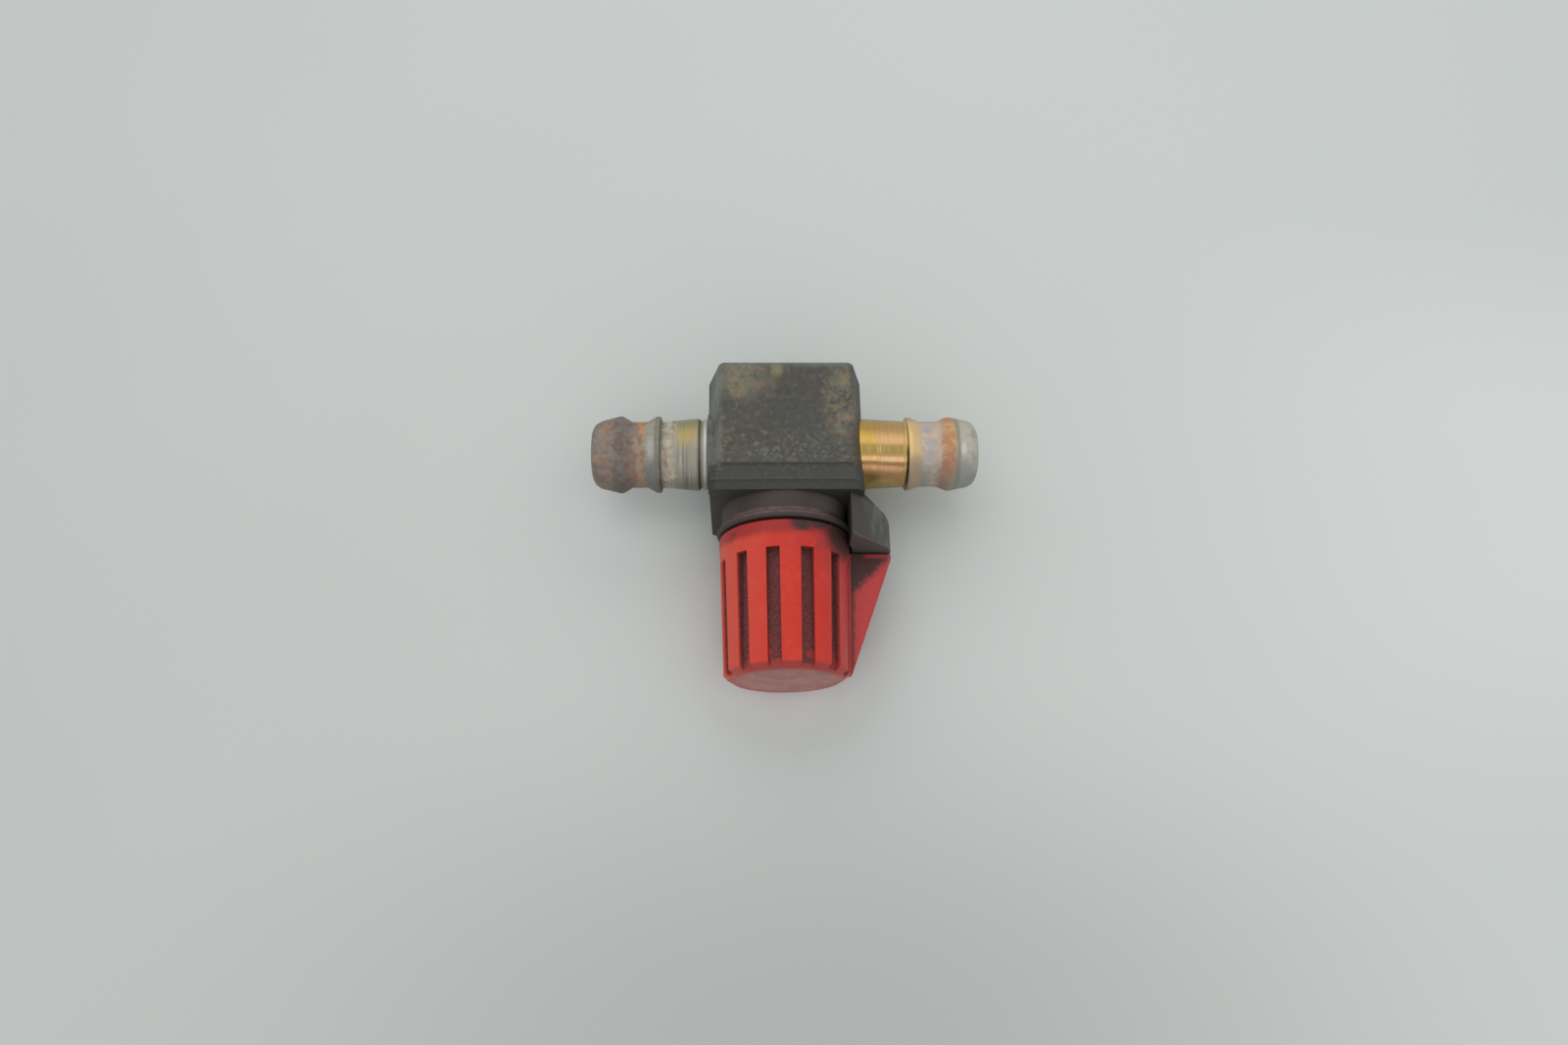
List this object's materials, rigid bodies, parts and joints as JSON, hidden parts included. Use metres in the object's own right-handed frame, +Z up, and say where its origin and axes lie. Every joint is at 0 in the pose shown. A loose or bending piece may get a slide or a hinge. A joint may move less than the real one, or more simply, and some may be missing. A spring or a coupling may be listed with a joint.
{
  "type": "coolant shut-off valve",
  "caption": "Plug valve with a black moulded block, steel hose tails in line on either side and a red ribbed knob with a pointer fin that opens and shuts the coolant path by a quarter turn.",
  "frame": {"origin": "on the flat underside, straight below the crossing of the pipe axis and the spindle axis", "axes": "+X along the pipe towards the hose tail on the pointer's side, +Y along the spindle away from the knob, +Z up from the underside"},
  "size_m": [0.0861, 0.0676, 0.0304],
  "materials": {
    "black_moulding": "worn, dusty",
    "red_moulding": "worn, grimy",
    "plated_steel": "turned, yellow passivated",
    "rusted_steel": "turned, plating lost to rust",
    "seal_rubber": "moulded",
    "seat_plastic": "machined",
    "plug_brass": "turned",
    "spring_steel": "rolled"
  },
  "bodies": {
    "housing": {"valve_body": "black_moulding", "left_hose_tail": "rusted_steel", "right_hose_tail": "plated_steel", "left_tail_seal": "seal_rubber", "right_tail_seal": "seal_rubber", "left_seat": "seat_plastic", "right_seat": "seat_plastic", "left_seat_ring": "seal_rubber", "right_seat_ring": "seal_rubber", "bonnet": "black_moulding", "bonnet_seal": "seal_rubber"},
    "turning_set": {"knob": "red_moulding", "knob_spring": "spring_steel", "plug": "plug_brass", "stem_seal_inner": "seal_rubber", "stem_seal_outer": "seal_rubber", "thrust_washer": "seat_plastic"}
  },
  "joints": [
    {"name": "knob_turn", "type": "hinge", "parent": "housing", "child": "turning_set", "pos_m": [0, 0, 0.0152], "axis": [0, -1, 0], "range_deg": [0, 90]}
  ]
}
